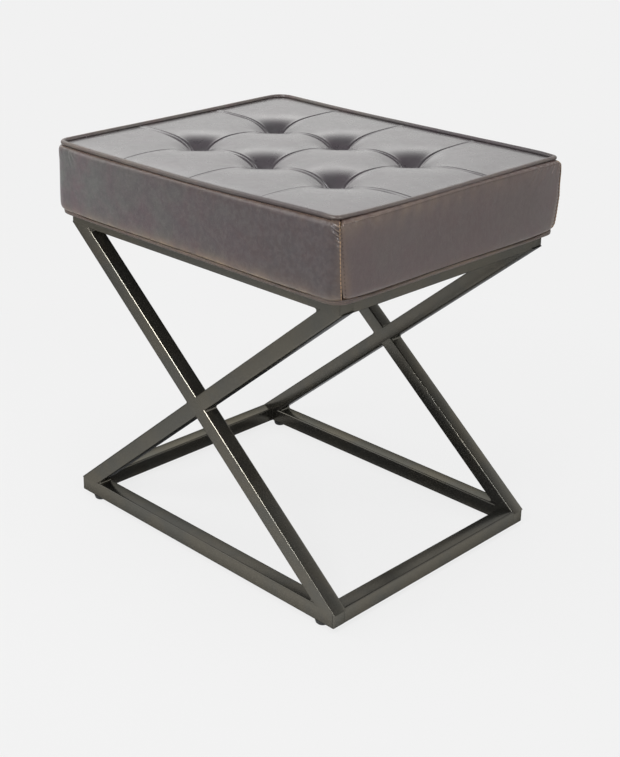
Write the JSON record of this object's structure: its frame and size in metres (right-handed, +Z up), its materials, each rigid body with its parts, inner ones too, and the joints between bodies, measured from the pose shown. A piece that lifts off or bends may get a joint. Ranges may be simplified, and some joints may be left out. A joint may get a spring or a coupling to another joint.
{
  "type": "x frame stool",
  "caption": "Low upholstered stool: a welded square tube frame with crossed legs on two sides carries a tufted leather box cushion seat.",
  "frame": {"origin": "on the floor under the middle of the seat", "axes": "+Z up; X along the two sides with crossed legs; +Y from the front side to the back side"},
  "size_m": [0.4844, 0.3938, 0.4881],
  "materials": {
    "frame_lacquer": "satin dark bronze grey lacquer over welded steel tube",
    "zinc_steel": "zinc plated screws and T-nuts",
    "black_plastic": "matt black moulded glides",
    "seat_leather": "dark brown waxed leather, rubbed lighter along its seams",
    "seat_foam": "cut foam under the leather",
    "plywood": "bare plywood",
    "black_cloth": "matt black non-woven dust cover",
    "thread": "tan waxed thread and twine"
  },
  "bodies": {
    "root": {"front_top_rail": "frame_lacquer", "front_bottom_rail": "frame_lacquer", "front_long_leg": "frame_lacquer", "front_upper_half_leg": "frame_lacquer", "front_lower_half_leg": "frame_lacquer", "front_top_left_cap": "frame_lacquer", "front_top_right_cap": "frame_lacquer", "front_bottom_left_cap": "frame_lacquer", "front_bottom_right_cap": "frame_lacquer", "back_top_rail": "frame_lacquer", "back_bottom_rail": "frame_lacquer", "back_long_leg": "frame_lacquer", "back_upper_half_leg": "frame_lacquer", "back_lower_half_leg": "frame_lacquer", "back_top_left_cap": "frame_lacquer", "back_top_right_cap": "frame_lacquer", "back_bottom_left_cap": "frame_lacquer", "back_bottom_right_cap": "frame_lacquer", "left_top_stretcher": "frame_lacquer", "left_bottom_stretcher": "frame_lacquer", "right_top_stretcher": "frame_lacquer", "right_bottom_stretcher": "frame_lacquer", "seat_tab_front_left": "frame_lacquer", "seat_tab_front_right": "frame_lacquer", "seat_tab_back_right": "frame_lacquer", "seat_tab_back_left": "frame_lacquer", "glide_front_left": "black_plastic", "glide_front_right": "black_plastic", "glide_back_right": "black_plastic", "glide_back_left": "black_plastic", "glide_screw_front_left": "zinc_steel", "glide_screw_front_right": "zinc_steel", "glide_screw_back_right": "zinc_steel", "glide_screw_back_left": "zinc_steel", "seat_screw_front_left": "zinc_steel", "seat_screw_front_right": "zinc_steel", "seat_screw_back_right": "zinc_steel", "seat_screw_back_left": "zinc_steel", "t_nut_front_left": "zinc_steel", "t_nut_front_right": "zinc_steel", "t_nut_back_right": "zinc_steel", "t_nut_back_left": "zinc_steel", "dust_cover": "black_cloth", "seat_board": "plywood", "seat_foam": "seat_foam", "top_panel": "seat_leather", "top_welt": "seat_leather", "bottom_hem": "seat_leather", "boxing_right": "seat_leather", "boxing_back": "seat_leather", "boxing_left": "seat_leather", "boxing_front": "seat_leather", "tuft_tie_1": "thread", "tuft_tie_2": "thread", "tuft_tie_3": "thread", "tuft_tie_4": "thread", "tuft_tie_5": "thread", "tuft_tie_6": "thread"}
  },
  "joints": []
}
